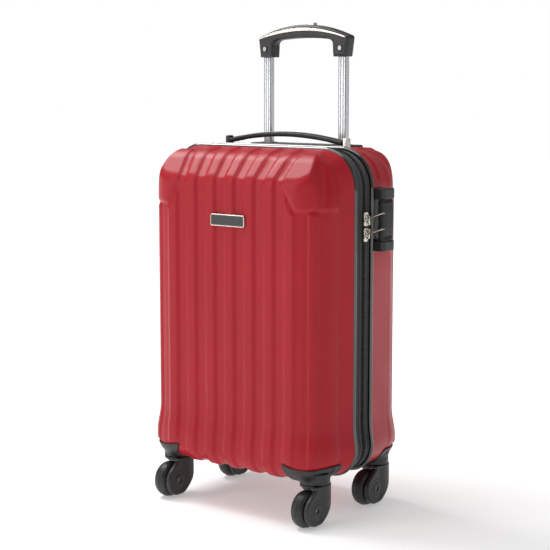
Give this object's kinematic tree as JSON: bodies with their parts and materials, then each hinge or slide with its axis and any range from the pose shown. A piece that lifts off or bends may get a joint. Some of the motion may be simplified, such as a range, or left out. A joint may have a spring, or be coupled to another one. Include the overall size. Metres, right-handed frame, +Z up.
{
  "type": "hard shell suitcase",
  "caption": "Upright cabin case of two fluted hard shells joined by a zipped gusset, with a telescopic trolley, carry handles and swivel casters.",
  "frame": {"origin": "on the floor under the middle of the whole object at rest", "axes": "+Z up, -Y towards the front of the case (the lid), +X towards the side with the zip pulls and the side handle"},
  "size_m": [0.3904, 0.242, 0.7384],
  "materials": {
    "shell_red": "semi-gloss ABS with a fine moulded cross grain",
    "black_plastic": "satin moulded plastic",
    "black_rubber": "soft satin",
    "wheel_black": "smooth, softly shining",
    "piping_black": "high gloss",
    "tape_fabric": "woven tape",
    "coil_black": "nylon coil",
    "lining_fabric": "thin woven lining",
    "tube_aluminium": "satin anodised with drawn grooves",
    "nickel": "polished nickel plate",
    "steel": "zinc-plated"
  },
  "bodies": {
    "rear_case": {"rear_shell": "shell_red", "rear_lining": "lining_fabric", "rear_piping": "piping_black", "zip_tape_rear": "tape_fabric", "zip_coil_rear": "coil_black", "hinge_strip": "tape_fabric", "trolley_bezel": "black_plastic", "trolley_foot": "black_plastic", "tube_outer_left": "tube_aluminium", "tube_outer_right": "tube_aluminium", "top_handle_cap_left": "black_plastic", "top_handle_cap_right": "nickel", "side_handle_cap_lower": "black_plastic", "side_handle_cap_upper": "black_plastic", "caster_bracket_rear_left": "black_plastic", "caster_bracket_rear_right": "black_plastic", "swivel_pin_rear_left": "steel", "swivel_pin_rear_right": "steel"},
    "lid": {"front_shell": "shell_red", "front_lining": "lining_fabric", "front_piping": "piping_black", "zip_tape_front": "tape_fabric", "zip_coil_front": "coil_black", "badge": "nickel", "caster_bracket_front_left": "black_plastic", "caster_bracket_front_right": "black_plastic", "swivel_pin_front_left": "steel", "swivel_pin_front_right": "steel"},
    "trolley_middle": {"tube_middle_left": "tube_aluminium", "tube_middle_right": "tube_aluminium"},
    "trolley_inner": {"tube_inner_left": "tube_aluminium", "tube_inner_right": "tube_aluminium", "grip": "black_plastic", "grip_trim": "nickel", "grip_screw_left": "steel", "grip_screw_right": "steel"},
    "release_button": {"release_button": "nickel"},
    "top_handle": {"top_handle": "black_rubber"},
    "side_handle": {"side_handle": "black_rubber"},
    "upper_slider": {"upper_zip_slider": "nickel"},
    "upper_pull": {"upper_zip_pull": "nickel"},
    "lower_slider": {"lower_zip_slider": "nickel"},
    "lower_pull": {"lower_zip_pull": "nickel"},
    "caster_front_left": {"caster_fork_front_left": "black_plastic", "wheel_axle_front_left": "steel"},
    "wheel_front_left": {"wheel_front_left": "wheel_black"},
    "caster_front_right": {"caster_fork_front_right": "black_plastic", "wheel_axle_front_right": "steel"},
    "wheel_front_right": {"wheel_front_right": "wheel_black"},
    "caster_rear_left": {"caster_fork_rear_left": "black_plastic", "wheel_axle_rear_left": "steel"},
    "wheel_rear_left": {"wheel_rear_left": "wheel_black"},
    "caster_rear_right": {"caster_fork_rear_right": "black_plastic", "wheel_axle_rear_right": "steel"},
    "wheel_rear_right": {"wheel_rear_right": "wheel_black"}
  },
  "joints": [
    {"name": "lid_hinge", "type": "hinge", "parent": "rear_case", "child": "lid", "pos_m": [-0.19659, -0.007, 0.3], "axis": [0, 0, -1], "range_deg": [0, 180]},
    {"name": "trolley_middle_slide", "type": "slide", "parent": "rear_case", "child": "trolley_middle", "axis": [0, 0, 1], "range_m": [0, 0.21]},
    {"name": "trolley_inner_slide", "type": "slide", "parent": "trolley_middle", "child": "trolley_inner", "axis": [0, 0, 1], "range_m": [-0.132, 0.085]},
    {"name": "release_button_press", "type": "slide", "parent": "trolley_inner", "child": "release_button", "axis": [0, 0, 1], "range_m": [-0.003, 0], "stiffness_N_per_m": 300, "springref_m": 0.002},
    {"name": "top_handle_lift", "type": "slide", "parent": "rear_case", "child": "top_handle", "axis": [0, 0, 1], "range_m": [0, 0.0034]},
    {"name": "side_handle_pull", "type": "slide", "parent": "rear_case", "child": "side_handle", "axis": [1, 0, 0], "range_m": [0, 0.0034]},
    {"name": "upper_slider_run", "type": "slide", "parent": "rear_case", "child": "upper_slider", "axis": [0, 0, 1], "range_m": [0, 0.03]},
    {"name": "upper_pull_swing", "type": "hinge", "parent": "upper_slider", "child": "upper_pull", "pos_m": [0.16611, -0.007, 0.45], "axis": [0, -1, 0], "range_deg": [-30, 60]},
    {"name": "lower_slider_run", "type": "slide", "parent": "rear_case", "child": "lower_slider", "axis": [0, 0, 1], "range_m": [-0.26, 0]},
    {"name": "lower_pull_swing", "type": "hinge", "parent": "lower_slider", "child": "lower_pull", "pos_m": [0.16611, -0.007, 0.427], "axis": [0, -1, 0], "range_deg": [-100, 20]},
    {"name": "caster_swivel_front_left", "type": "hinge", "parent": "lid", "child": "caster_front_left", "pos_m": [-0.14959, -0.071, 0.06], "axis": [0, 0, 1], "continuous": true},
    {"name": "wheel_spin_front_left", "type": "hinge", "parent": "caster_front_left", "child": "wheel_front_left", "pos_m": [-0.14959, -0.093, 0.028], "axis": [1, 0, 0], "continuous": true},
    {"name": "caster_swivel_front_right", "type": "hinge", "parent": "lid", "child": "caster_front_right", "pos_m": [0.12041, -0.071, 0.06], "axis": [0, 0, 1], "continuous": true},
    {"name": "wheel_spin_front_right", "type": "hinge", "parent": "caster_front_right", "child": "wheel_front_right", "pos_m": [0.12041, -0.093, 0.028], "axis": [1, 0, 0], "continuous": true},
    {"name": "caster_swivel_rear_left", "type": "hinge", "parent": "rear_case", "child": "caster_rear_left", "pos_m": [-0.14959, 0.081, 0.06], "axis": [0, 0, 1], "continuous": true},
    {"name": "wheel_spin_rear_left", "type": "hinge", "parent": "caster_rear_left", "child": "wheel_rear_left", "pos_m": [-0.14959, 0.059, 0.028], "axis": [1, 0, 0], "continuous": true},
    {"name": "caster_swivel_rear_right", "type": "hinge", "parent": "rear_case", "child": "caster_rear_right", "pos_m": [0.12041, 0.081, 0.06], "axis": [0, 0, 1], "continuous": true},
    {"name": "wheel_spin_rear_right", "type": "hinge", "parent": "caster_rear_right", "child": "wheel_rear_right", "pos_m": [0.12041, 0.059, 0.028], "axis": [1, 0, 0], "continuous": true}
  ]
}
